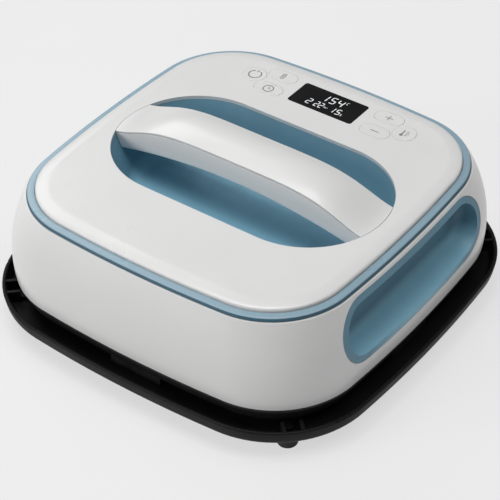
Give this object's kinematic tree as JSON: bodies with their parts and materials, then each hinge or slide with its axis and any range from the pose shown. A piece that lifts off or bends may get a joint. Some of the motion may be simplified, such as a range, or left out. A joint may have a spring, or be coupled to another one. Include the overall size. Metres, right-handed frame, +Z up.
{
  "type": "craft heat press",
  "caption": "Rounded-square craft heat press with an arched carrying handle over a well, a display and keys behind it, side hand recesses and a footed insulated safety base.",
  "frame": {"origin": "on the table under the middle of the safety base", "axes": "+Z up; +X along the carrying handle; +Y towards the display and keys, -Y towards the user"},
  "size_m": [0.3154, 0.3154, 0.1276],
  "materials": {
    "white_plastic": "glossy",
    "black_plastic": "fine texture",
    "collar_plastic": "matt",
    "blue_ring": "satin",
    "blue_well": "satin",
    "grey_panel": "satin",
    "display_black": "glossy",
    "foot_rubber": "matt",
    "pad_silicone": "matt",
    "screw_steel": "zinc plated",
    "liner_aluminium": "bright",
    "plate_aluminium": "non-stick coated",
    "element_steel": "heat tinted",
    "ceramic_white": "matt",
    "blanket_fibre": "fibrous",
    "sheet_steel": "galvanised",
    "board_green": "solder mask",
    "component_black": "moulded",
    "component_blue": "moulded",
    "component_green": "moulded",
    "core_steel": "laminated"
  },
  "bodies": {
    "base": {"base_tray": "black_plastic", "base_feet": "foot_rubber", "base_foot_screws": "screw_steel", "base_heat_liner": "liner_aluminium", "base_support_pads": "pad_silicone"},
    "press": {"board_screws": "screw_steel", "bottom_collar": "collar_plastic", "buzzer": "component_black", "capacitor": "component_black", "chassis_plate": "sheet_steel", "chassis_screws": "screw_steel", "control_board": "board_green", "cord_gland": "collar_plastic", "cover_ledge": "white_plastic", "cover_screws": "screw_steel", "display_module": "component_black", "display_window": "display_black", "element_terminals": "ceramic_white", "gland_nut": "collar_plastic", "handle_lower_shell": "grey_panel", "handle_screws": "screw_steel", "handle_upper_shell": "white_plastic", "handle_well": "blue_well", "heat_plate": "plate_aluminium", "heat_shield": "sheet_steel", "heat_sink": "sheet_steel", "heating_element": "element_steel", "housing_rear": "white_plastic", "housing_screws": "screw_steel", "insulation_blanket": "blanket_fibre", "outer_housing": "white_plastic", "plate_screws": "screw_steel", "plate_washers": "ceramic_white", "power_board": "board_green", "relay": "component_blue", "side_recess_left": "blue_well", "side_recess_right": "blue_well", "switch_cases": "component_black", "temperature_sensor": "core_steel", "terminal_block": "component_green", "thermal_fuse": "ceramic_white", "thermostat": "component_black", "top_cover": "white_plastic", "transformer": "core_steel", "trim_ring": "blue_ring"},
    "power_button": {"power_key": "white_plastic", "power_plunger": "component_black"},
    "mode_button": {"mode_key": "white_plastic", "mode_plunger": "component_black"},
    "temperature_button": {"temperature_key": "white_plastic", "temperature_plunger": "component_black"},
    "timer_button": {"timer_key": "white_plastic", "timer_plunger": "component_black"},
    "plus_button": {"plus_key": "white_plastic", "plus_plunger": "component_black"},
    "minus_button": {"minus_key": "white_plastic", "minus_plunger": "component_black"}
  },
  "joints": [
    {"name": "press_lift", "type": "slide", "parent": "base", "child": "press", "axis": [0, 0, 1], "range_m": [0, 0.08]},
    {"name": "power_press", "type": "slide", "parent": "press", "child": "power_button", "axis": [0, 0, -1], "range_m": [0, 0.0005], "stiffness_N_per_m": 600, "springref_m": -0.0005},
    {"name": "mode_press", "type": "slide", "parent": "press", "child": "mode_button", "axis": [0, 0, -1], "range_m": [0, 0.0005], "stiffness_N_per_m": 600, "springref_m": -0.0005},
    {"name": "temperature_press", "type": "slide", "parent": "press", "child": "temperature_button", "axis": [0, 0, -1], "range_m": [0, 0.0005], "stiffness_N_per_m": 600, "springref_m": -0.0005},
    {"name": "timer_press", "type": "slide", "parent": "press", "child": "timer_button", "axis": [0, 0, -1], "range_m": [0, 0.0005], "stiffness_N_per_m": 600, "springref_m": -0.0005},
    {"name": "plus_press", "type": "slide", "parent": "press", "child": "plus_button", "axis": [0, 0, -1], "range_m": [0, 0.0005], "stiffness_N_per_m": 600, "springref_m": -0.0005},
    {"name": "minus_press", "type": "slide", "parent": "press", "child": "minus_button", "axis": [0, 0, -1], "range_m": [0, 0.0005], "stiffness_N_per_m": 600, "springref_m": -0.0005}
  ]
}
